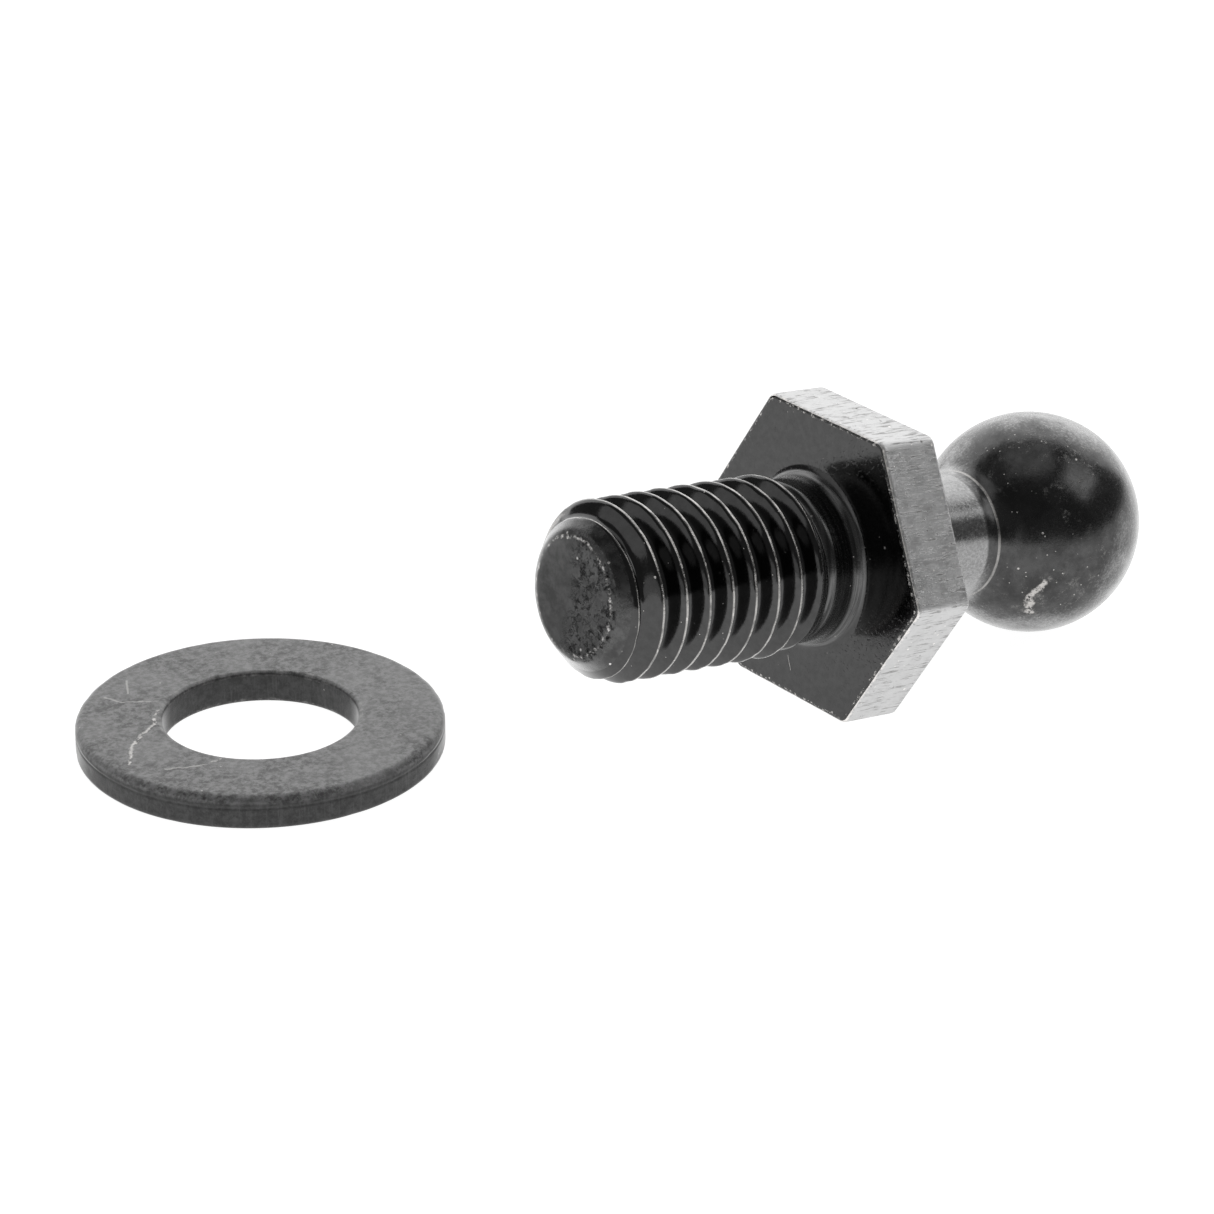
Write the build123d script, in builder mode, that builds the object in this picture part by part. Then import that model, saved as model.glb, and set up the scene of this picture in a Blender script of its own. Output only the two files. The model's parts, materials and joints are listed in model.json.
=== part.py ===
from build123d import *
import os
from math import acos, atan2, cos, degrees, hypot, radians, sin, sqrt, tan

# A ball stud and its loose plain washer, lying on a flat surface.
# The stud is one forging: ball, neck, hexagon and rolled M8 thread. It rests on its ball and on the rear
# edge of its hexagon, so its threaded end points slightly upwards. The washer lies flat beside the tip.
# Millimetres. +Z is up and Z = 0 is the surface. +X follows the stud, from its tip to its ball.
# The origin is on the surface, under the middle of the set.

# Ball stud, measured from its seat: the hexagon's face on the thread side
SHANK_LENGTH = 12.9
SHANK_R = 3.6
SHANK_FILLET_R = 0.6
TIP_FACE_R = 2.65
TIP_EDGE_R = 0.35
THREAD_CREST_R = 3.95
THREAD_ROOT_R = 3.2
THREAD_PITCH = 1.25
THREAD_HALF_ANGLE = 30.0
THREAD_END = 2.6
THREAD_END_TAPER = 0.55
HEX_ACROSS_FLATS = 12.85
HEX_THICKNESS = 3.0
HEX_CORNER_R = 0.5
HEX_EDGE_R = 0.2
NECK_R = 2.75
NECK_BASE_FILLET_R = 0.5
NECK_BALL_FILLET_R = 1.4
BALL_R = 5.0
BALL_REACH = 13.24

# Thread groove: where it starts off the tip, how far it runs at full depth, and how it fades out
GROOVE_LEAD = 0.718
GROOVE_FULL_TURNS = 9
GROOVE_RUNOUT_TURNS = 1.5
GROOVE_OVERCUT = 0.08

# Plain washer
WASHER_OUTER_R = 7.95
WASHER_BORE_R = 4.2
WASHER_THICKNESS = 1.5
WASHER_TOP_EDGE_R = 0.3
WASHER_BOTTOM_EDGE_R = 0.2
WASHER_BORE_EDGE_R = 0.15

# Where the washer lies: its centre from the point of the surface below the seat's centre
WASHER_BACK = 21.64
WASHER_LEFT = 10.5

# The stud's tilt, from its two supports: the ball, and the rounded rear edge of the hexagon's lower flat
edge_reach = HEX_THICKNESS - HEX_EDGE_R
edge_drop = HEX_ACROSS_FLATS / 2 - HEX_EDGE_R
support_span = BALL_REACH - edge_reach
tilt = acos((BALL_R - HEX_EDGE_R) / hypot(edge_drop, support_span)) - atan2(support_span, edge_drop)
seat_height = BALL_R + BALL_REACH * sin(tilt)

# The set's extent along X and Y, which puts the origin under its middle
hex_corner_reach = HEX_ACROSS_FLATS / sqrt(3) - HEX_CORNER_R * (2 / sqrt(3) - 1)
ball_end = BALL_REACH * cos(tilt) + BALL_R
washer_end = WASHER_BACK + WASHER_OUTER_R
seat_x = (washer_end - ball_end) / 2
seat_y = (hex_corner_reach - WASHER_LEFT - WASHER_OUTER_R) / 2

# The seat plane: its normal is the stud's axis towards the ball, and its x is level
seat = Plane(origin=(seat_x, seat_y, seat_height), x_dir=(0, 1, 0), z_dir=(cos(tilt), 0, -sin(tilt)))
stud_axis = Axis(seat.origin, seat.z_dir)

# A plane that holds the axis: its x is the radius, and its y runs along the axis towards the ball
stud_section = Plane(origin=seat.origin, x_dir=seat.x_dir, z_dir=seat.x_dir.cross(seat.z_dir))

# The washer's plane lies on the surface, and its section plane stands on it
washer_base = Plane(origin=(seat_x - WASHER_BACK, seat_y + WASHER_LEFT, 0))
washer_axis = Axis(washer_base.origin, washer_base.z_dir)

# Thread groove section: a 60 degree vee with a flat root, cut a little past the crest
flank_slope = tan(radians(THREAD_HALF_ANGLE))
crest_flat = THREAD_PITCH / 8
root_half_width = (THREAD_PITCH - crest_flat) / 2 - (THREAD_CREST_R - THREAD_ROOT_R) * flank_slope
groove_depth = THREAD_CREST_R - THREAD_ROOT_R + GROOVE_OVERCUT
mouth_half_width = root_half_width + groove_depth * flank_slope


def thread_groove(start, turns, rise):
    """A stretch of groove from the start plane's x axis, whose root moves outwards by rise on the way."""
    length = turns * THREAD_PITCH
    with BuildPart() as groove:
        with BuildLine() as path:
            Helix(THREAD_PITCH, length, THREAD_ROOT_R, cone_angle=degrees(atan2(rise, length)))
        helix = path.edge()
        with BuildSketch(Plane(origin=helix @ 0, x_dir=(1, 0, 0), z_dir=helix % 0)):
            with BuildLine():
                Polyline(
                    (0, -root_half_width),
                    (groove_depth, -mouth_half_width),
                    (groove_depth, mouth_half_width),
                    (0, root_half_width),
                    close=True,
                )
            make_face()
        sweep(path=helix, is_frenet=True)
    return groove.part.moved(start.location)


groove_start = seat.offset(-SHANK_LENGTH - GROOVE_LEAD)
full_grooves = [
    thread_groove(groove_start.offset(turn * THREAD_PITCH), 1, 0) for turn in range(GROOVE_FULL_TURNS)
]
runout_start = groove_start.offset(GROOVE_FULL_TURNS * THREAD_PITCH)
runout_groove = thread_groove(runout_start, GROOVE_RUNOUT_TURNS, groove_depth)

# Ball stud: where the fillet between neck and ball starts on each of them
fillet_centre_r = NECK_R + NECK_BALL_FILLET_R
fillet_centre_back = sqrt((BALL_R + NECK_BALL_FILLET_R) ** 2 - fillet_centre_r**2)
ball_share = BALL_R / (BALL_R + NECK_BALL_FILLET_R)
neck_end = BALL_REACH - fillet_centre_back
ball_start = (fillet_centre_r * ball_share, BALL_REACH - fillet_centre_back * ball_share)

# Ball stud: the fillets at either side of the hexagon, and the middle of its thickness between them
shank_root_r = SHANK_R + SHANK_FILLET_R
neck_root_r = NECK_R + NECK_BASE_FILLET_R
neck_start = HEX_THICKNESS + NECK_BASE_FILLET_R
hex_middle = HEX_THICKNESS / 2

with BuildPart() as ball_stud:
    # Hexagon, with rounded corners and softened edges
    with BuildSketch(seat) as hexagon:
        RegularPolygon(radius=HEX_ACROSS_FLATS / sqrt(3), side_count=6)
        fillet(hexagon.vertices(), HEX_CORNER_R)
    extrude(amount=HEX_THICKNESS)
    end_faces = ball_stud.faces().sort_by(stud_axis)
    fillet(end_faces[0].edges() + end_faces[-1].edges(), HEX_EDGE_R)

    # Shank: chamfered tip, thread blank, plain shank and the fillet under the seat
    with BuildSketch(stud_section):
        with BuildLine():
            Polyline(
                (shank_root_r, 0),
                (shank_root_r, hex_middle),
                (0, hex_middle),
                (0, -SHANK_LENGTH),
                (TIP_FACE_R, -SHANK_LENGTH),
                (THREAD_CREST_R, -SHANK_LENGTH + THREAD_CREST_R - TIP_FACE_R),
                (THREAD_CREST_R, -THREAD_END),
                (SHANK_R, -THREAD_END + THREAD_END_TAPER),
                (SHANK_R, -SHANK_FILLET_R),
            )
            RadiusArc((SHANK_R, -SHANK_FILLET_R), (shank_root_r, 0), SHANK_FILLET_R)
        make_face()
    revolve(axis=stud_axis)
    tip_edge = ball_stud.edges().filter_by(GeomType.CIRCLE).sort_by(stud_axis)[0]
    fillet(tip_edge, TIP_EDGE_R)

    # Neck and ball
    with BuildSketch(stud_section):
        with BuildLine():
            RadiusArc((neck_root_r, HEX_THICKNESS), (NECK_R, neck_start), NECK_BASE_FILLET_R)
            Line((NECK_R, neck_start), (NECK_R, neck_end))
            RadiusArc((NECK_R, neck_end), ball_start, NECK_BALL_FILLET_R)
            ThreePointArc(ball_start, (BALL_R, BALL_REACH), (0, BALL_REACH + BALL_R))
            Polyline(
                (0, BALL_REACH + BALL_R),
                (0, hex_middle),
                (neck_root_r, hex_middle),
                (neck_root_r, HEX_THICKNESS),
            )
        make_face()
    revolve(axis=stud_axis)

    # Thread
    add(full_grooves, mode=Mode.SUBTRACT)
    add(runout_groove, mode=Mode.SUBTRACT)

ball_stud.part.label = "ball_stud"

# Plain washer: a punched ring, its edges rounded most on the side that the punch met
with BuildPart() as flat_washer:
    with BuildSketch(washer_base):
        Circle(WASHER_OUTER_R)
        Circle(WASHER_BORE_R, mode=Mode.SUBTRACT)
    extrude(amount=WASHER_THICKNESS)
    rims = flat_washer.edges().filter_by(GeomType.CIRCLE).sort_by(SortBy.RADIUS)
    fillet(rims[:2], WASHER_BORE_EDGE_R)
    outer_rims = rims[2:].sort_by(washer_axis)
    fillet(outer_rims[0], WASHER_BOTTOM_EDGE_R)
    fillet(outer_rims[1], WASHER_TOP_EDGE_R)

flat_washer.part.label = "flat_washer"

os.makedirs("parts", exist_ok=True)
export_step(ball_stud.part, "parts/ball_stud.step")
export_step(flat_washer.part, "parts/flat_washer.step")
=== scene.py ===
import json
import math

import bpy
import numpy as np
from mathutils import Matrix, Vector


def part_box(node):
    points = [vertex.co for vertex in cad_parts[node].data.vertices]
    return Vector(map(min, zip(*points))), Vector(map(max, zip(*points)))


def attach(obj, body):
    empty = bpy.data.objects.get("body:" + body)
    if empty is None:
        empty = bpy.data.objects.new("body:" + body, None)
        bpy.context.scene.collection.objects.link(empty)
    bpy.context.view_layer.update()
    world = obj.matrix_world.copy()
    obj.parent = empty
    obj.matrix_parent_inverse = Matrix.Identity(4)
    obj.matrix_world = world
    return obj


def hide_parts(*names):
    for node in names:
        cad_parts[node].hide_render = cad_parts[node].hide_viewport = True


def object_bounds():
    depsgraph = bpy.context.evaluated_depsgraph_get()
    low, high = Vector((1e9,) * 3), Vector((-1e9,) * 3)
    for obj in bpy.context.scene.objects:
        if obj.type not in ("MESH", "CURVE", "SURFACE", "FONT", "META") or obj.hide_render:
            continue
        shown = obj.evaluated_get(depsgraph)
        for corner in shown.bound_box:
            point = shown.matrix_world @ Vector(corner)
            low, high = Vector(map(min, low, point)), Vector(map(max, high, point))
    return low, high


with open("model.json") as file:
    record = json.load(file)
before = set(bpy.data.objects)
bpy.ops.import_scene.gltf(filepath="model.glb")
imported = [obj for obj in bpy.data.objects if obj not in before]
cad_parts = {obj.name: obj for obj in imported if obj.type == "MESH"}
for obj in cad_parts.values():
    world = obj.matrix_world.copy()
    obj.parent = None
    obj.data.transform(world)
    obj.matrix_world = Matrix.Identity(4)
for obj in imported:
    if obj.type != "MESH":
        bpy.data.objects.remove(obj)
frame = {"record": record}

CAD_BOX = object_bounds()

# The stud and the washer, in millimetres. The hexagon, the ball and the washer's rim are a few microns
# under their CAD sizes, so that the finished shapes stay inside the CAD box. The edges of the tip and of
# the washer are rounder than the CAD model's
MM = 0.001
SHANK_LENGTH = 12.9
SHANK_R = 3.6
SHANK_FILLET_R = 0.6
TIP_FACE_R = 2.65
TIP_EDGE_R = 0.9
THREAD_CREST_R = 3.95
THREAD_ROOT_R = 3.2
THREAD_PITCH = 1.25
THREAD_END = 2.6
THREAD_END_TAPER = 0.55
GROOVE_LEAD = 0.718
GROOVE_FULL_TURNS = 9.0
GROOVE_RUNOUT_TURNS = 1.5
HEX_APOTHEM = 6.42
HEX_THICKNESS = 3.0
HEX_CORNER_R = 0.5
HEX_EDGE_R = 0.2
NECK_R = 2.75
NECK_BASE_FILLET_R = 0.5
NECK_BALL_FILLET_R = 1.4
BALL_R = 4.994
BALL_REACH = 13.24
WASHER_OUTER_R = 7.946
WASHER_BORE_R = 4.2
WASHER_TOP_EDGE_R = 0.42
WASHER_BOTTOM_EDGE_R = 0.25
WASHER_BORE_EDGE_R = 0.2

# Finer shape that only the finished model has, in millimetres unless it says otherwise
THREAD_FROM, THREAD_TO = -12.3, -1.7
THREAD_ROWS = 176
LEAD_IN_END = -11.6
CHAMFER_BLEND = 0.25
ROOT_BLEND = 0.2
CREST_BLEND = 0.09
CREST_WEAR_WIDTH = 0.085
RIDGE_WEAR_WIDTH = 0.16
TIP_RING_DISH = 0.05
TIP_CENTRE_DISH = 0.07
TIP_EDGE_WEAR = (0.2, 0.4, 0.6, 0.66, 0.6, 0.4, 0.3, 0.2, 0.15)  # shares, from the face outwards
SHANK_NICK_DEPTH = 0.06
HEX_NICK_DEPTH = 0.015
SHEAR_LINE_AT = 0.66  # share of the washer's thickness
SHEAR_LINE_WIDTH = 0.05
SHEAR_LINE_DEPTH = 0.03
RIM_UNEVENNESS = 0.015
FACE_UNEVENNESS = 0.012
WASHER_ROUGHNESS = 0.02

# Where the pieces lie, read from the frame's mounts
mounts = {m["name"]: m for m in frame["record"]["mounts"]}
AXIS = Vector(mounts["ball"]["axis"]).normalized()
BALL_AT = Vector(mounts["ball"]["pos_m"])
SEAT_AT = BALL_AT - AXIS * BALL_REACH * MM
LEVEL = Vector((0, 0, 1)).cross(AXIS).normalized()
UPRIGHT = AXIS.cross(LEVEL)


# ---------------------------------------------------------------- mesh tools
def smoothstep(low, high, x):
    t = np.clip((x - low) / (high - low), 0, 1)
    return t * t * (3 - 2 * t)


def soft_min(a, b, width):
    """The smaller of a and b, with the corner between them rounded over width."""
    h = np.clip(0.5 + 0.5 * (b - a) / width, 0, 1)
    return b * (1 - h) + a * h - width * h * (1 - h)


def waves(seed, coords, scale, octaves=3):
    """Smooth random undulation from -1 to 1, made of sines in random directions."""
    rng = np.random.default_rng(seed)
    total = np.zeros(len(coords))
    for octave in range(octaves):
        for _ in range(6):
            direction = rng.normal(size=3)
            direction /= np.linalg.norm(direction)
            phase = rng.uniform(0, 2 * math.pi)
            total += np.sin(coords @ direction * scale * 2**octave * 2 * math.pi + phase) / 2**octave
    return total / 6


def arc_points(centre, radius, start, end, count):
    """Points of an arc in the section plane, as (radius, along the axis) pairs, angles in degrees."""
    angles = np.radians(np.linspace(start, end, count))
    return [(centre[0] + radius * math.cos(a), centre[1] + radius * math.sin(a)) for a in angles]


def grid_mesh(name, points, attributes, zones, closed_rows=False, poles=()):
    """A mesh from points[row, column], closed round its columns. Each pole is (first or last row, point)."""
    rows, columns = points.shape[:2]
    verts = points.reshape(-1, 3)
    row_pairs = [(r, (r + 1) % rows) for r in range(rows if closed_rows else rows - 1)]
    faces, materials = [], []
    index = np.arange(columns)
    after = (index + 1) % columns
    for low, high in row_pairs:
        quads = np.stack([low * columns + index, low * columns + after,
                          high * columns + after, high * columns + index], 1)
        faces.extend(quads.tolist())
        materials.extend([zones[low]] * columns)
    for row, point in poles:
        pole = len(verts)
        verts = np.vstack([verts, point])
        ring = row * columns + index
        turned = (after, index) if row == 0 else (index, after)
        faces.extend(np.stack([np.full(columns, pole), ring[turned[0]], ring[turned[1]]], 1).tolist())
        materials.extend([zones[row]] * columns)
    mesh = bpy.data.meshes.new(name)
    mesh.from_pydata((verts * MM).tolist(), [], faces)
    mesh.polygons.foreach_set("material_index", materials)
    mesh.polygons.foreach_set("use_smooth", [True] * len(faces))
    for key, values in attributes.items():
        is_vector = values.ndim == 3
        flat = values.reshape(-1, 3) if is_vector else values.ravel()
        if poles:
            flat = np.concatenate([flat, [values[row].mean(0) for row, _ in poles]])
        made = mesh.attributes.new(key, "FLOAT_VECTOR" if is_vector else "FLOAT", "POINT")
        made.data.foreach_set("vector" if is_vector else "value", flat.astype(np.float32).ravel())
    mesh.update()
    mesh.validate()
    piece = bpy.data.objects.new(name, mesh)
    bpy.context.scene.collection.objects.link(piece)
    return piece


# ---------------------------------------------------------------- the stud's shape
def hex_outline(around, apothem, corner_r):
    """Distance from the axis to a hexagon's rounded outline. Its corners point along LEVEL."""
    sixth = math.radians(60)
    off = np.abs((around + sixth / 2) % sixth - sixth / 2)
    centre = (apothem - corner_r) / math.cos(sixth / 2)
    tangent = math.atan2(corner_r * math.sin(sixth / 2), centre + corner_r * math.cos(sixth / 2))
    flat = apothem / np.cos(sixth / 2 - off)
    inside = np.clip(corner_r**2 - (centre * np.sin(off)) ** 2, 0, None)
    return np.where(off < tangent, centre * np.cos(off) + np.sqrt(inside), flat)


def blank_radius(along):
    """The shank before its thread is rolled: a rounded chamfer, the crest's cylinder and a step down."""
    chamfer = TIP_FACE_R + (along + SHANK_LENGTH)
    step = THREAD_CREST_R - smoothstep(-THREAD_END, -THREAD_END + THREAD_END_TAPER, along) * (
        THREAD_CREST_R - SHANK_R)
    return soft_min(chamfer, step, CHAMFER_BLEND)


def thread_radius(around, along):
    """The rolled thread: the blank, less a vee groove that follows a right-hand helix and fades out.

    The second value is how worn the surface is, from 0 to 1, along the crests and the lead-in ridge.
    """
    groove_start = -SHANK_LENGTH - GROOVE_LEAD
    turns = (along - groove_start) / THREAD_PITCH - around / (2 * math.pi)
    off = np.abs(turns - np.round(turns)) * THREAD_PITCH
    travelled = np.round(turns) + around / (2 * math.pi)
    rise = np.clip((travelled - GROOVE_FULL_TURNS) / GROOVE_RUNOUT_TURNS, 0, None)
    rise = rise * (THREAD_CREST_R - THREAD_ROOT_R)
    flank = math.tan(math.radians(60))
    # The crest's flat takes an eighth of the pitch, so half the groove is 7/16 of it wide at the top
    root_half = THREAD_PITCH * 7 / 16 - (THREAD_CREST_R - THREAD_ROOT_R) / flank
    slope = (off - root_half) * flank
    groove = THREAD_ROOT_R + rise - soft_min(-slope, 0 * slope, ROOT_BLEND)
    blank = blank_radius(along)
    radius = soft_min(blank, groove, CREST_BLEND)
    crest = np.exp(-(((THREAD_PITCH / 2 - off) / CREST_WEAR_WIDTH) ** 2))
    crest = crest * smoothstep(LEAD_IN_END - 0.4, LEAD_IN_END, along)
    ridge = np.exp(-(((blank - groove) / RIDGE_WEAR_WIDTH) ** 2))
    ridge = ridge * (1 - smoothstep(LEAD_IN_END - 0.3, LEAD_IN_END, along))
    return radius, np.maximum(crest * (1 - smoothstep(0.0, 0.5, rise)), ridge)


def around_columns():
    """Angles round the stud: even along the flats, and closer together at the hexagon's corners."""
    corner = np.linspace(-2.6, 2.6, 9)
    flat = np.linspace(2.6, 57.4, 40)[1:-1]
    one = np.concatenate([corner, flat])
    return np.radians(np.concatenate([one + 60 * k for k in range(6)]))


def thread_rows(around):
    """Heights of the thread's rows at one angle, closer together where its crests pass."""
    fine = np.linspace(THREAD_FROM, THREAD_TO, 2400)
    crest = thread_radius(np.full_like(fine, around), fine)[1]
    steps = np.cumsum(1 + 1.8 * crest)
    steps = (steps - steps[0]) / (steps[-1] - steps[0])
    return np.interp(np.linspace(0, 1, THREAD_ROWS), steps, fine)


def build_stud():
    around = around_columns()
    columns = len(around)
    along_rows, radius_rows, wear_rows, zones = [], [], [], []

    def ring(along, radius, wear, zone):
        along_rows.append(np.broadcast_to(along, columns).astype(float))
        radius_rows.append(np.broadcast_to(radius, columns).astype(float))
        wear_rows.append(np.broadcast_to(wear, columns).astype(float))
        zones.append(zone)

    def bevel(angle):
        """The hexagon's outline, part of the way round its rounded edge."""
        inset = HEX_EDGE_R * (1 - math.sin(angle))
        return hex_outline(around, HEX_APOTHEM - inset, HEX_CORNER_R - inset / 2)

    tip, black, sheared, ball = 0, 1, 2, 3
    # Tip face, slightly dished, and its rounded edge
    edge_back = TIP_EDGE_R * math.tan(math.radians(22.5))
    for radius in np.linspace(0.12, TIP_FACE_R - edge_back - 0.05, 15):
        dish = TIP_RING_DISH * (1 - smoothstep(1.0, TIP_FACE_R - edge_back, radius))
        ring(-SHANK_LENGTH + dish, radius, 0.0, tip)
    edge_centre = (TIP_FACE_R - edge_back, -SHANK_LENGTH + TIP_EDGE_R)
    edge_points = arc_points(edge_centre, TIP_EDGE_R, -90, -45, len(TIP_EDGE_WEAR))
    for (radius, along), worn in zip(edge_points, TIP_EDGE_WEAR):
        ring(along, radius, worn, tip)
    for along in np.linspace(along_rows[-1][0], THREAD_FROM, 8)[1:-1]:
        ring(along, blank_radius(along), 0.15, tip)
    # Thread
    heights = np.stack([thread_rows(a) for a in around], 1)
    for row in heights:
        radius, crest = thread_radius(around, row)
        ring(row, radius, crest, black)
    # Plain shank, the fillet under the seat, and the seat
    for along in np.linspace(THREAD_TO, -SHANK_FILLET_R, 8)[1:-1]:
        ring(along, thread_radius(around, np.full(columns, along))[0], 0.0, black)
    fillet_centre = (SHANK_R + SHANK_FILLET_R, -SHANK_FILLET_R)
    for radius, along in arc_points(fillet_centre, SHANK_FILLET_R, 180, 90, 10):
        ring(along, radius, 0.0, black)
    face_edge = hex_outline(around, HEX_APOTHEM - HEX_EDGE_R, HEX_CORNER_R)
    for share in np.linspace(0, 1, 13)[1:-1]:
        ring(0.0, (SHANK_R + SHANK_FILLET_R) * (1 - share) + face_edge * share, 0.5 * share**12, black)
    # Hexagon's front edge, side and rear edge
    for k, angle in enumerate(np.radians(np.linspace(0, 90, 6))):
        ring(HEX_EDGE_R * (1 - math.cos(angle)), bevel(angle), 0.98 - 0.1 * k,
             black if k < 2 else sheared)
    side = hex_outline(around, HEX_APOTHEM, HEX_CORNER_R)
    for along in np.linspace(HEX_EDGE_R, HEX_THICKNESS - HEX_EDGE_R, 12)[1:-1]:
        ring(along, side, 0.0, sheared)
    for k, angle in enumerate(np.radians(np.linspace(90, 0, 6))):
        ring(HEX_THICKNESS - HEX_EDGE_R * (1 - math.cos(angle)), bevel(angle), 0.4 + 0.06 * k,
             sheared if k < 4 else black)
    # Rear face, neck and ball
    neck_base = NECK_R + NECK_BASE_FILLET_R
    for share in np.linspace(1, 0, 9)[1:-1]:
        ring(HEX_THICKNESS, neck_base * (1 - share) + face_edge * share, 0.6 * share**12, black)
    base_centre = (neck_base, HEX_THICKNESS + NECK_BASE_FILLET_R)
    for radius, along in arc_points(base_centre, NECK_BASE_FILLET_R, 270, 180, 7):
        ring(along, radius, 0.0, ball)
    fillet_r = NECK_R + NECK_BALL_FILLET_R
    fillet_back = math.sqrt((BALL_R + NECK_BALL_FILLET_R) ** 2 - fillet_r**2)
    neck_end = BALL_REACH - fillet_back
    for along in np.linspace(HEX_THICKNESS + NECK_BASE_FILLET_R, neck_end, 8)[1:-1]:
        ring(along, NECK_R, 0.0, ball)
    turn = math.degrees(math.atan2(fillet_back, fillet_r))
    for radius, along in arc_points((fillet_r, neck_end), NECK_BALL_FILLET_R, 180, 180 - turn, 12):
        ring(along, radius, 0.0, ball)
    for radius, along in arc_points((0, BALL_REACH), BALL_R, -turn, 89, 62)[1:]:
        ring(along, radius, 0.0, ball)

    along, radius, wear = np.array(along_rows), np.array(radius_rows), np.array(wear_rows)
    place = np.stack([radius * np.cos(around), radius * np.sin(around), along], 2).reshape(-1, 3)
    nicks = np.clip(waves(4, place, 0.55), 0, 1).reshape(radius.shape)
    depth = np.where(along < 0, SHANK_NICK_DEPTH, HEX_NICK_DEPTH)
    radius = radius - depth * nicks * np.clip(wear, 0, 1)
    level, up = radius * np.cos(around), radius * np.sin(around)
    local = np.stack([level, up, along], 2)
    basis = np.array([LEVEL, UPRIGHT, AXIS])
    seat = np.array(SEAT_AT) / MM
    points = local @ basis + seat
    tip_centre = np.array([[0, 0, -SHANK_LENGTH + TIP_CENTRE_DISH]]) @ basis + seat
    ball_end = np.array([[0, 0, BALL_REACH + BALL_R]]) @ basis + seat
    return grid_mesh("ball_stud_finished", points, {"stud_mm": local, "wear": wear}, zones,
                     poles=[(0, tip_centre), (len(points) - 1, ball_end)])


def build_washer():
    low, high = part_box("flat_washer")
    centre = (low + high) / 2
    thickness = (high.z - low.z) / MM
    ring_points = []

    def path(points, wear):
        ring_points.extend((r, z, wear) for r, z in points)

    bore, rim = WASHER_BORE_R, WASHER_OUTER_R
    small, top, bottom = WASHER_BORE_EDGE_R, WASHER_TOP_EDGE_R, WASHER_BOTTOM_EDGE_R
    path(arc_points((bore + small, thickness - small), small, 180, 90, 9), 0.5)
    path([(r, thickness) for r in np.linspace(bore + small, rim - top, 22)[1:-1]], 0.0)
    path(arc_points((rim - top, thickness - top), top, 90, 0, 12), 0.35)
    path([(rim, z) for z in np.linspace(thickness - top, bottom, 20)[1:-1]], 0.0)
    path(arc_points((rim - bottom, bottom), bottom, 0, -90, 6), 0.25)
    path([(r, 0.0) for r in np.linspace(rim - bottom, bore + small, 12)[1:-1]], 0.0)
    path(arc_points((bore + small, small), small, 270, 180, 6), 0.5)
    path([(bore, z) for z in np.linspace(small, thickness - small, 9)[1:-1]], 0.0)
    around = np.linspace(0, 2 * math.pi, 360, endpoint=False)
    radius, height, wear = (np.array(values)[:, None] + 0 * around for values in zip(*ring_points))
    place = np.stack([radius * np.cos(around), radius * np.sin(around), height], 2).reshape(-1, 3)
    uneven = (waves(7, place, 0.12) * 0.5 + 0.5).clip(0, 1).reshape(radius.shape)
    rough = np.clip(waves(8, place, 0.8), 0, 1).reshape(radius.shape)
    on_rim = smoothstep(rim - 0.4, rim, radius)
    from_line = height - thickness * SHEAR_LINE_AT - 0.1 * (uneven - 0.5)
    shear = np.exp(-((from_line / SHEAR_LINE_WIDTH) ** 2))
    radius = radius - on_rim * (
        SHEAR_LINE_DEPTH * shear + RIM_UNEVENNESS * uneven + WASHER_ROUGHNESS * rough)
    upper = height > thickness / 2
    height = height - np.where(upper, FACE_UNEVENNESS * uneven + WASHER_ROUGHNESS * rough * wear, 0)
    # The face's lighter grey goes a third as far down into the hole as it does over the rim: painted shade in
    # the hole
    down = np.where(radius < bore + small * 0.9, 3, 1) * (thickness - height)
    facing = np.where(upper, 1 - smoothstep(0.15, 0.45, down), 0)
    local = np.stack([radius * np.cos(around), radius * np.sin(around), height], 2)
    points = local + np.array([centre.x, centre.y, low.z]) / MM
    return grid_mesh("flat_washer_finished", points, {"washer_mm": local, "wear": wear, "facing": facing},
                     [0] * len(ring_points), closed_rows=True)


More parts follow.
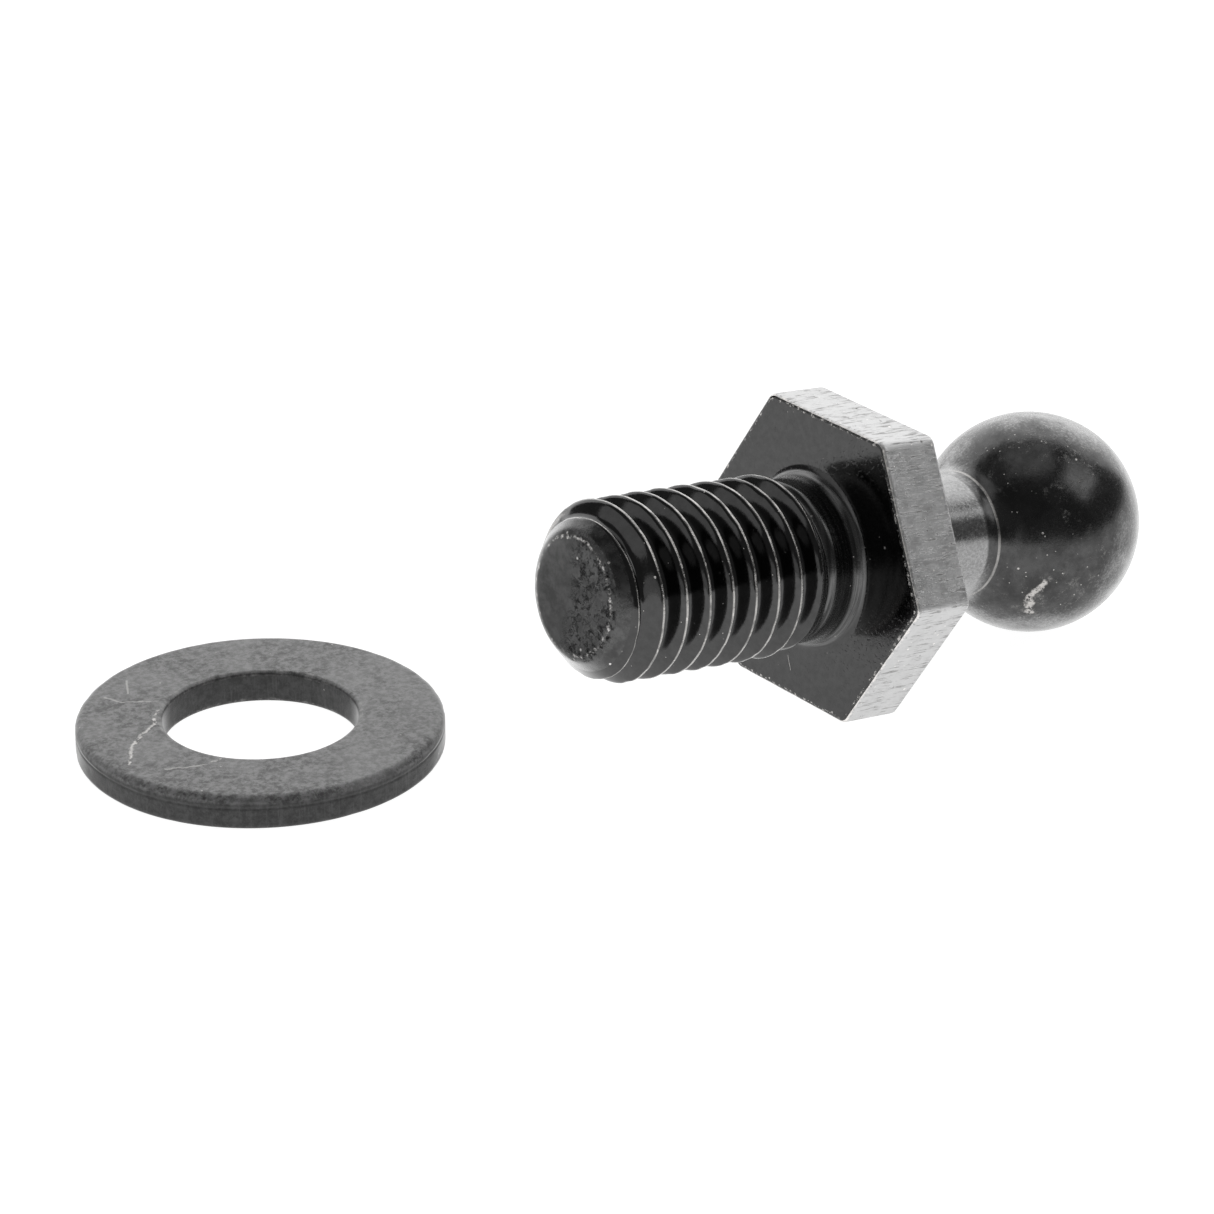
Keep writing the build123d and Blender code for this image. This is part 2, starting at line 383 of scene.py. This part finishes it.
# ---------------------------------------------------------------- materials
class Nodes:
    """A material's node tree, with short ways to add nodes. Sockets are passed from one to the next."""

    def __init__(self, name, coordinates):
        self.material = bpy.data.materials.new(name)
        self.material.use_nodes = True
        self.tree = self.material.node_tree
        self.shader = self.tree.nodes["Principled BSDF"]
        self.coords = self.attribute(coordinates, "Vector")

    def add(self, kind, inputs=(), **settings):
        made = self.tree.nodes.new("ShaderNode" + kind)
        for key, value in settings.items():
            setattr(made, key, value)
        for key, value in dict(inputs).items():
            if isinstance(value, bpy.types.NodeSocket):
                self.tree.links.new(value, made.inputs[key])
            else:
                made.inputs[key].default_value = value
        return made

    def attribute(self, name, output="Fac"):
        return self.add("Attribute", attribute_name=name).outputs[output]

    def math(self, operation, *values, clamp=False):
        return self.add("Math", enumerate(values), operation=operation, use_clamp=clamp).outputs[0]

    def stretch(self, scale):
        """The coordinates, multiplied by scale along each axis."""
        return self.add("Mapping", {"Vector": self.coords, "Scale": scale}).outputs[0]

    def noise(self, scale, detail=4.0, roughness=0.55, coords=None, distortion=0.0):
        return self.add("TexNoise", {"Vector": coords or self.coords, "Scale": scale, "Detail": detail,
                                     "Roughness": roughness, "Distortion": distortion}).outputs["Fac"]

    def ramp(self, value, low, high, to_low=0.0, to_high=1.0):
        """value taken from low..high to to_low..to_high, smoothly and held at the ends."""
        return self.add("MapRange", {"Value": value, "From Min": low, "From Max": high, "To Min": to_low,
                                     "To Max": to_high}, interpolation_type="SMOOTHSTEP").outputs[0]

    def mix(self, factor, a, b):
        """A colour between a and b."""
        made = self.add("Mix", data_type="RGBA")
        for socket, value in zip((made.inputs[0], made.inputs[6], made.inputs[7]), (factor, a, b)):
            if isinstance(value, bpy.types.NodeSocket):
                self.tree.links.new(value, socket)
            else:
                socket.default_value = value
        return made.outputs[2]

    def specks(self, scale, size, share):
        """Small round specks: 1 inside a share of the cells, up to size of the cell's width."""
        cells = self.add("TexVoronoi", {"Vector": self.coords, "Scale": scale})
        spot = self.ramp(cells.outputs["Distance"], size, size * 0.5)
        chosen = self.add("SeparateColor", {"Color": cells.outputs["Color"]}).outputs[0]
        return self.math("MULTIPLY", spot, self.ramp(chosen, 1 - share, 1 - share * 0.8))

    def vector(self, operation, a, b, scale=1.0, output="Vector"):
        made = self.add("VectorMath", {"Scale": scale} if operation == "SCALE" else {}, operation=operation)
        for socket, value in zip(made.inputs, (a, b)):
            if isinstance(value, bpy.types.NodeSocket):
                self.tree.links.new(value, socket)
            elif value is not None:
                socket.default_value = value
        return made.outputs[output]

    def scratch(self, points, width, wobble=0.25):
        """A crooked scratch through the points, in millimetres: 1 along its middle."""
        warp = self.add("TexNoise", {"Vector": self.coords, "Scale": 2.2, "Detail": 6.0, "Roughness": 0.65})
        shift = self.vector("SCALE", self.vector("SUBTRACT", warp.outputs["Color"], (0.5, 0.5, 0.5)), None,
                            scale=wobble * 2)
        at = self.vector("ADD", self.coords, shift)
        best = None
        for start, end in zip(points[:-1], points[1:]):
            run = Vector(end) - Vector(start)
            reach = self.vector("SUBTRACT", at, start)
            share = self.vector("DOT_PRODUCT", reach, tuple(run / run.length_squared), output="Value")
            share = self.math("ADD", share, 0.0, clamp=True)
            along = self.vector("MULTIPLY", tuple(run), self.add(
                "CombineXYZ", {"X": share, "Y": share, "Z": share}).outputs[0])
            off = self.vector("LENGTH", self.vector("SUBTRACT", reach, along), None, output="Value")
            best = off if best is None else self.math("MINIMUM", best, off)
        return self.ramp(best, width, width * 0.35)

    def glance(self, colour, low, high, grazing, haze=0.0):
        """The colour, with the stronger gloss of a dusty, oily skin where it is seen at a low angle."""
        facing = self.math("ADD", self.add("LayerWeight", {"Blend": 0.5}).outputs["Facing"], haze)
        return self.mix(self.ramp(facing, low, high), colour, grazing)

    def height(self, axis="Z"):
        return self.add("SeparateXYZ", {"Vector": self.coords}).outputs[axis]

    def band(self, value, low, high, soft):
        """1 where value lies between low and high, fading over soft."""
        return self.math("MULTIPLY", self.ramp(value, low - soft, low), self.ramp(value, high + soft, high))

    def bump(self, height, distance, strength=1.0, before=None):
        made = self.add("Bump", {"Height": height, "Distance": distance, "Strength": strength})
        if before is not None:
            self.tree.links.new(before, made.inputs["Normal"])
        return made.outputs[0]

    def finish(self, colour, roughness, normal, metallic, sheen=0.0, sheen_roughness=0.5):
        for key, value in (("Base Color", colour), ("Roughness", roughness), ("Normal", normal)):
            self.tree.links.new(value, self.shader.inputs[key])
        self.shader.inputs["Metallic"].default_value = metallic
        self.shader.inputs["Sheen Weight"].default_value = sheen
        self.shader.inputs["Sheen Roughness"].default_value = sheen_roughness
        return self.material


def grey(value, warm=0.0):
    return (value * (1 + warm), value, value * (1 - warm), 1.0)


def worn_lines(n):
    """Wear on crests and ridges: a thin line of changing strength, with brighter nicks along it."""
    wear = n.attribute("wear")
    on_shank = n.ramp(n.height(), 0.0, -0.1)
    strength = n.ramp(n.noise(1.1, 7, 0.75), 0.36, 0.62, 0.2, 0.75)
    line = n.math("MULTIPLY", n.math("MULTIPLY", n.ramp(wear, 0.5, 0.9), on_shank), strength)
    rough = n.math("ADD", wear, n.math("MULTIPLY", n.math("SUBTRACT", n.noise(3.2, 7, 0.75), 0.5), 2.6))
    nicks = n.math("MULTIPLY", n.ramp(rough, 0.95, 1.2), n.ramp(wear, 0.1, 0.4))
    return n.math("MAXIMUM", line, nicks, clamp=True)


def black_oxide():
    """Glossy blackened steel of the thread, the shank and the hexagon's two faces."""
    n = Nodes("black_oxide_steel", "stud_mm")
    along = n.height()
    colour = n.mix(n.ramp(n.noise(2.4, 8, 0.75), 0.35, 0.65), grey(0.066), grey(0.08))
    fine = n.noise(7.0, 6, 0.65)
    # Turned lines on the plain shank and the fillet under the seat
    turned = n.noise(1.0, 4, 0.6, coords=n.stretch((0.25, 0.25, 9.0)))
    shank = n.band(along, -2.1, -0.12, 0.1)
    colour = n.mix(shank, colour, n.mix(n.ramp(turned, 0.35, 0.65), grey(0.05), grey(0.16)))
    dust = n.math("MAXIMUM", n.specks(2.1, 0.15, 0.08), n.specks(5.3, 0.2, 0.06))
    dust = n.math("MULTIPLY", dust, n.ramp(n.noise(0.35, 2), 0.45, 0.6))
    hairs = n.math("MAXIMUM", n.scratch(((2.2, -4.1, 0.0), (2.0, -5.2, 0.0)), 0.03, 0.05),
                   n.scratch(((0.4, -4.7, 0.0), (0.1, -5.3, 0.0)), 0.025, 0.05))
    marks = n.math("MAXIMUM", dust, n.math("MULTIPLY", hairs, 0.5))
    bare = n.math("MAXIMUM", worn_lines(n), marks, clamp=True)
    colour = n.glance(colour, 0.5, 1.0, grey(0.4))
    colour = n.mix(bare, colour, grey(0.62, 0.03))
    smooth = n.ramp(fine, 0.3, 0.7, 0.07, 0.15)
    roughness = n.math("ADD", smooth, n.math("MULTIPLY", shank, 0.14))
    roughness = n.math("ADD", roughness, n.math("MULTIPLY", bare, 0.25))
    pits = n.ramp(n.noise(5.0, 3, 0.5), 0.56, 0.68)
    normal = n.bump(pits, -0.000003, n.ramp(along, -0.1, 0.0))
    normal = n.bump(fine, 0.000002, before=normal)
    normal = n.bump(turned, 0.000012, shank, before=normal)
    normal = n.bump(bare, -0.00002, 0.6, before=normal)
    return n.finish(colour, roughness, normal, 1.0, sheen=0.08, sheen_roughness=0.35)


def ball_finish():
    """Blackened steel of the neck and ball: the neck painted lighter as painted reflection, a painted
    highlight ring on its fillet, the ball dusty, scuffed and chipped.
    """
    n = Nodes("scuffed_ball_steel", "stud_mm")
    along = n.height()
    fine = n.noise(8.0, 6, 0.65)
    colour = n.mix(n.ramp(n.noise(0.7, 7, 0.7), 0.35, 0.65), grey(0.055), grey(0.095))
    # The neck's lighter grey is painted reflection, standing in for the light the neck picks up from the
    # floor and the back
    neck = n.band(along, 3.2, 8.1, 0.2)
    colour = n.mix(neck, colour, n.mix(n.ramp(fine, 0.35, 0.65), grey(0.24), grey(0.36)))
    # A thin bright ring round the neck's fillet is a painted highlight; it goes into bare with the ball's
    # real dust, scuffs and chip
    highlight_ring_strength = n.ramp(n.noise(2.0, 5, 0.7), 0.3, 0.6, 0.2, 0.6)
    ring = n.math("MULTIPLY", n.band(along, 8.78, 8.84, 0.05), highlight_ring_strength)
    ball = n.ramp(along, 9.0, 9.6)
    dust = n.math("MAXIMUM", n.specks(2.1, 0.17, 0.14), n.specks(5.3, 0.22, 0.12))
    dust = n.math("MULTIPLY", dust, n.ramp(n.noise(0.35, 2), 0.42, 0.58))
    scuffed_area = n.ramp(n.noise(0.28, 2), 0.44, 0.6)
    scuffs = n.math("MULTIPLY", n.ramp(n.noise(1.8, 10, 0.85), 0.53, 0.68), scuffed_area)
    chip = n.scratch(((-4.1, -1.2, 10.6), (-3.6, -2.0, 10.3), (-3.3, -2.9, 10.8)), 0.24, 0.3)
    chip = n.math("MULTIPLY", chip, n.ramp(n.noise(4.0, 4, 0.7), 0.4, 0.5))
    bare = n.math("MAXIMUM", dust, n.math("MAXIMUM", n.math("MULTIPLY", scuffs, 0.36), chip), clamp=True)
    # bare: the ball's real dust, scuffs and chip, plus the painted highlight ring on the neck
    bare = n.math("MAXIMUM", n.math("MULTIPLY", bare, ball), ring, clamp=True)
    haze = n.math("ADD", n.ramp(fine, 0.3, 0.7, -0.1, 0.1), n.ramp(n.noise(0.5, 3), 0.35, 0.65, -0.1, 0.1))
    colour = n.glance(colour, 0.4, 1.0, grey(0.42), haze)
    colour = n.mix(bare, colour, grey(0.55, 0.03))
    smooth = n.ramp(fine, 0.3, 0.7, 0.18, 0.28)
    roughness = n.math("ADD", smooth, n.math("MULTIPLY", bare, 0.2))
    normal = n.bump(n.noise(0.9, 3), 0.00001)
    normal = n.bump(fine, 0.000004, before=normal)
    normal = n.bump(bare, -0.00002, 0.6, before=normal)
    return n.finish(colour, roughness, normal, 1.0, sheen=0.25, sheen_roughness=0.35)


def sheared_steel():
    """The hexagon's sides: trimmed steel with sparse dark dashes along the stud, specks and worn edges."""
    n = Nodes("sheared_blackened_steel", "stud_mm")
    along = n.height()
    lines = n.noise(1.0, 5, 0.6, coords=n.stretch((11.0, 11.0, 1.0)))
    blotch = n.noise(1.2, 7, 0.7)
    colour = n.mix(n.ramp(blotch, 0.35, 0.65), grey(0.56), grey(0.64))
    dashes = n.math("MULTIPLY", n.ramp(lines, 0.54, 0.64), n.ramp(n.noise(1.6, 4), 0.36, 0.54))
    rear = n.math("MULTIPLY", n.ramp(along, 2.2, 2.8), n.ramp(lines, 0.5, 0.62))
    dark = n.math("MAXIMUM", n.math("MULTIPLY", dashes, 0.6), n.math("MULTIPLY", rear, 0.55))
    dark = n.math("MAXIMUM", dark, n.ramp(n.noise(3.4, 5, 0.7), 0.64, 0.7))
    colour = n.mix(dark, colour, grey(0.13, 0.04))
    specks = n.math("MAXIMUM", n.specks(2.6, 0.2, 0.12), n.specks(5.0, 0.2, 0.08))
    wear = n.attribute("wear")
    patchy = n.math("ADD", wear, n.noise(2.6, 8, 0.8))
    edge = n.math("MULTIPLY", n.ramp(patchy, 1.12, 1.3), n.ramp(wear, 0.2, 0.5))
    bare = n.math("MAXIMUM", specks, edge, clamp=True)
    colour = n.mix(bare, colour, grey(0.88, 0.03))
    roughness = n.math("ADD", n.ramp(blotch, 0.3, 0.7, 0.33, 0.48), n.math("MULTIPLY", dark, 0.15))
    normal = n.bump(lines, 0.00002, 0.7)
    normal = n.bump(dark, -0.00003, 0.7, before=normal)
    normal = n.bump(n.noise(6.0, 5, 0.65), 0.000012, before=normal)
    return n.finish(colour, roughness, normal, 1.0)


def tip_steel():
    """The tip: dull blackened steel, pitted on one side of its face, with bright nicks round its edge."""
    n = Nodes("pitted_tip_steel", "stud_mm")
    mottle = n.noise(1.3, 8, 0.7)
    colour = n.mix(n.ramp(mottle, 0.35, 0.65), grey(0.06), grey(0.115))
    face = n.ramp(n.height(), -12.7, -12.82)
    # The pits lie on the side of the face that is turned away from +Y
    side = n.math("MULTIPLY", face, n.ramp(n.height("X"), 0.6, -0.5))
    pits = n.ramp(n.noise(3.0, 9, 0.8, distortion=0.5), 0.51, 0.55)
    pits = n.math("MULTIPLY", n.math("MULTIPLY", pits, side), n.ramp(n.noise(0.8, 3), 0.38, 0.5))
    colour = n.mix(pits, colour, grey(0.008))
    wear = n.attribute("wear")
    patchy = n.math("ADD", wear, n.noise(3.4, 8, 0.8))
    nicks = n.math("MULTIPLY", n.ramp(patchy, 1.12, 1.24), n.ramp(wear, 0.1, 0.4))
    nicks = n.math("MAXIMUM", nicks, n.specks(2.2, 0.18, 0.16), clamp=True)
    colour = n.glance(colour, 0.45, 0.95, grey(0.6))
    colour = n.mix(nicks, colour, grey(0.75, 0.02))
    roughness = n.math("ADD", n.ramp(mottle, 0.3, 0.7, 0.2, 0.32), n.math("MULTIPLY", face, 0.14))
    normal = n.bump(pits, -0.00006)
    normal = n.bump(mottle, 0.00003, before=normal)
    return n.finish(colour, roughness, normal, 1.0, sheen=0.25, sheen_roughness=0.35)


def phosphate():
    """The washer's dull phosphate: a fine grey grain, darker on the rim, darker in the hole as painted shade,
    and scratched.
    """
    n = Nodes("phosphated_steel", "washer_mm")
    grain = n.noise(2.6, 8, 0.75)
    finer = n.noise(7.0, 5, 0.7)
    cloud = n.noise(0.45, 4)
    speckle = n.math("ADD", n.math("MULTIPLY", grain, 0.6), n.math("MULTIPLY", finer, 0.4))
    face = n.mix(n.ramp(speckle, 0.42, 0.58), grey(0.095), grey(0.265))
    face = n.mix(n.math("MULTIPLY", n.ramp(cloud, 0.42, 0.62), 0.35), face, grey(0.3))
    lines = n.noise(1.0, 4, 0.6, coords=n.stretch((8.0, 8.0, 0.6)))
    side = n.mix(n.ramp(speckle, 0.4, 0.62), grey(0.042), grey(0.085))
    side = n.mix(n.math("MULTIPLY", n.ramp(lines, 0.54, 0.7), 0.35), side, grey(0.13))
    # facing: the upper face's lighter grey, which stops short in the hole as painted shade
    facing = n.attribute("facing")
    jagged = n.math("ADD", facing, n.math("MULTIPLY", n.math("SUBTRACT", grain, 0.5), 0.3))
    colour = n.mix(n.ramp(jagged, 0.1, 0.9), side, face)
    main = n.scratch(((-3.4, 2.9, 1.5), (-4.2, 1.9, 1.5), (-5.5, 1.1, 1.5), (-6.1, 0.6, 1.5),
                      (-7.0, -0.7, 1.5)), 0.11, 0.24)
    broken = n.ramp(n.noise(4.0, 4, 0.7), 0.38, 0.5)
    faint = n.math("MAXIMUM", n.scratch(((-2.9, 6.2, 1.5), (-3.5, 5.1, 1.5)), 0.07, 0.05),
                   n.scratch(((-4.5, 5.3, 1.5), (-4.2, 4.6, 1.5), (-2.9, 3.7, 1.5)), 0.08, 0.2))
    faint = n.math("MAXIMUM", faint, n.scratch(((-6.1, -2.0, 1.5), (-4.8, -2.6, 1.5), (-3.6, -2.6, 1.5)),
                                               0.09, 0.25))
    scratches = n.math("MAXIMUM", n.math("MULTIPLY", main, broken), n.math("MULTIPLY", faint, 0.5))
    dots = n.math("MULTIPLY", n.specks(2.2, 0.15, 0.06), 0.8)
    wear = n.attribute("wear")
    edge = n.math("MULTIPLY", n.ramp(n.math("ADD", wear, n.noise(2.5, 7, 0.75)), 0.95, 1.15), 0.4)
    other_marks = n.math("MAXIMUM", dots, n.math("MULTIPLY", edge, wear))
    scratches = n.math("MAXIMUM", scratches, other_marks, clamp=True)
    colour = n.glance(colour, 0.6, 1.0, grey(0.5))
    colour = n.mix(scratches, colour, grey(0.62, 0.02))
    roughness = n.ramp(finer, 0.3, 0.7, 0.45, 0.6)
    normal = n.bump(speckle, 0.00003)
    normal = n.bump(lines, 0.00001, n.math("SUBTRACT", 1.0, facing), before=normal)
    normal = n.bump(scratches, -0.00003, before=normal)
    return n.finish(colour, roughness, normal, 0.7, sheen=0.12)


stud = build_stud()
for made in (tip_steel(), black_oxide(), sheared_steel(), ball_finish()):
    stud.data.materials.append(made)
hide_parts("ball_stud")
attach(stud, "stud")

washer = build_washer()
washer.data.materials.append(phosphate())
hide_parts("flat_washer")
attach(washer, "washer")


# ---------------------------------------------------------------- stage, light and camera
# Angles, then the camera's distance in metres, its lens in millimetres, and the point it aims at, measured
# from the middle of the set's footprint
AZIMUTH = math.radians(37.54)
ELEVATION = math.radians(24.76)
ROLL = math.radians(0.2)
DISTANCE = 0.18609
LENS = 126.3
AIM = Vector((-0.0012, -0.00033, 0.00439))
# Level directions, away from the camera and to its right
FORWARD = Vector((math.sin(AZIMUTH), math.cos(AZIMUTH), 0))
SIDE = Vector((math.cos(AZIMUTH), -math.sin(AZIMUTH), 0))
FLOOR_R = 3
FLOOR_SIDES = 96
FLOOR_GREY = 0.3
FLOOR_GLOW = 0.97
ROOM_GREY = 0.11


def add_camera():
    data = bpy.data.cameras.new("camera")
    data.lens, data.sensor_width, data.clip_start, data.clip_end = LENS, 36, 0.005, 20
    camera = bpy.data.objects.new("camera", data)
    bpy.context.scene.collection.objects.link(camera)
    look = FORWARD * math.cos(ELEVATION) - Vector((0, 0, math.sin(ELEVATION)))
    turn = look.to_track_quat("-Z", "Y").to_matrix().to_4x4()
    middle = (CAD_BOX[0] + CAD_BOX[1]) / 2
    place = Vector((middle.x, middle.y, 0)) + AIM - look * DISTANCE
    camera.matrix_world = Matrix.Translation(place) @ turn @ Matrix.Rotation(ROLL, 4, "Z")
    bpy.context.scene.camera = camera


def add_floor():
    mesh = bpy.data.meshes.new("floor")
    angles = [2 * math.pi * k / FLOOR_SIDES for k in range(FLOOR_SIDES)]
    corners = [(FLOOR_R * math.cos(angle), FLOOR_R * math.sin(angle), 0) for angle in angles]
    mesh.from_pydata(corners, [], [list(range(FLOOR_SIDES))])
    floor = bpy.data.objects.new("floor", mesh)
    bpy.context.scene.collection.objects.link(floor)
    material = bpy.data.materials.new("pale_floor")
    material.use_nodes = True
    shader = material.node_tree.nodes["Principled BSDF"]
    shader.inputs["Base Color"].default_value = grey(FLOOR_GREY)
    shader.inputs["Roughness"].default_value = 1.0
    shader.inputs["Specular IOR Level"].default_value = 0.0
    shader.inputs["Emission Color"].default_value = (1, 1, 1, 1)
    shader.inputs["Emission Strength"].default_value = FLOOR_GLOW
    mesh.materials.append(material)


def add_panel(name, place, size, brightness):
    """A soft light panel that faces the set. Its brightness is that of its own surface."""
    data = bpy.data.lights.new(name, "AREA")
    data.shape, data.size, data.size_y = "RECTANGLE", size[0], size[1]
    data.energy = brightness * math.pi * size[0] * size[1]
    panel = bpy.data.objects.new(name, data)
    bpy.context.scene.collection.objects.link(panel)
    panel.location = place
    panel.rotation_euler = (-place).to_track_quat("-Z", "Y").to_euler()
    panel.visible_camera = False


def add_light():
    up = Vector((0, 0, 1))
    add_panel("back_panel", FORWARD * 1.0 + up * 0.6, (2.8, 1.3), 1.35)
    add_panel("window", SIDE * 0.62 - FORWARD * 0.05 + up * 0.62, (0.5, 0.42), 1.3)
    add_panel("left_panel", -SIDE * 0.9 - FORWARD * 0.2 + up * 0.35, (0.9, 0.7), 0.55)
    add_panel("low_panel", -SIDE * 0.5 - FORWARD * 0.75 + up * 0.1, (0.7, 0.16), 0.5)
    add_panel("top_panel", up * 1.3 + FORWARD * 0.1, (0.9, 0.9), 0.5)
    world = bpy.data.worlds.new("room")
    world.use_nodes = True
    world.node_tree.nodes["Background"].inputs["Color"].default_value = grey(ROOM_GREY)
    bpy.context.scene.world = world


add_camera()
add_floor()
add_light()
bpy.context.scene.view_settings.view_transform = "Standard"
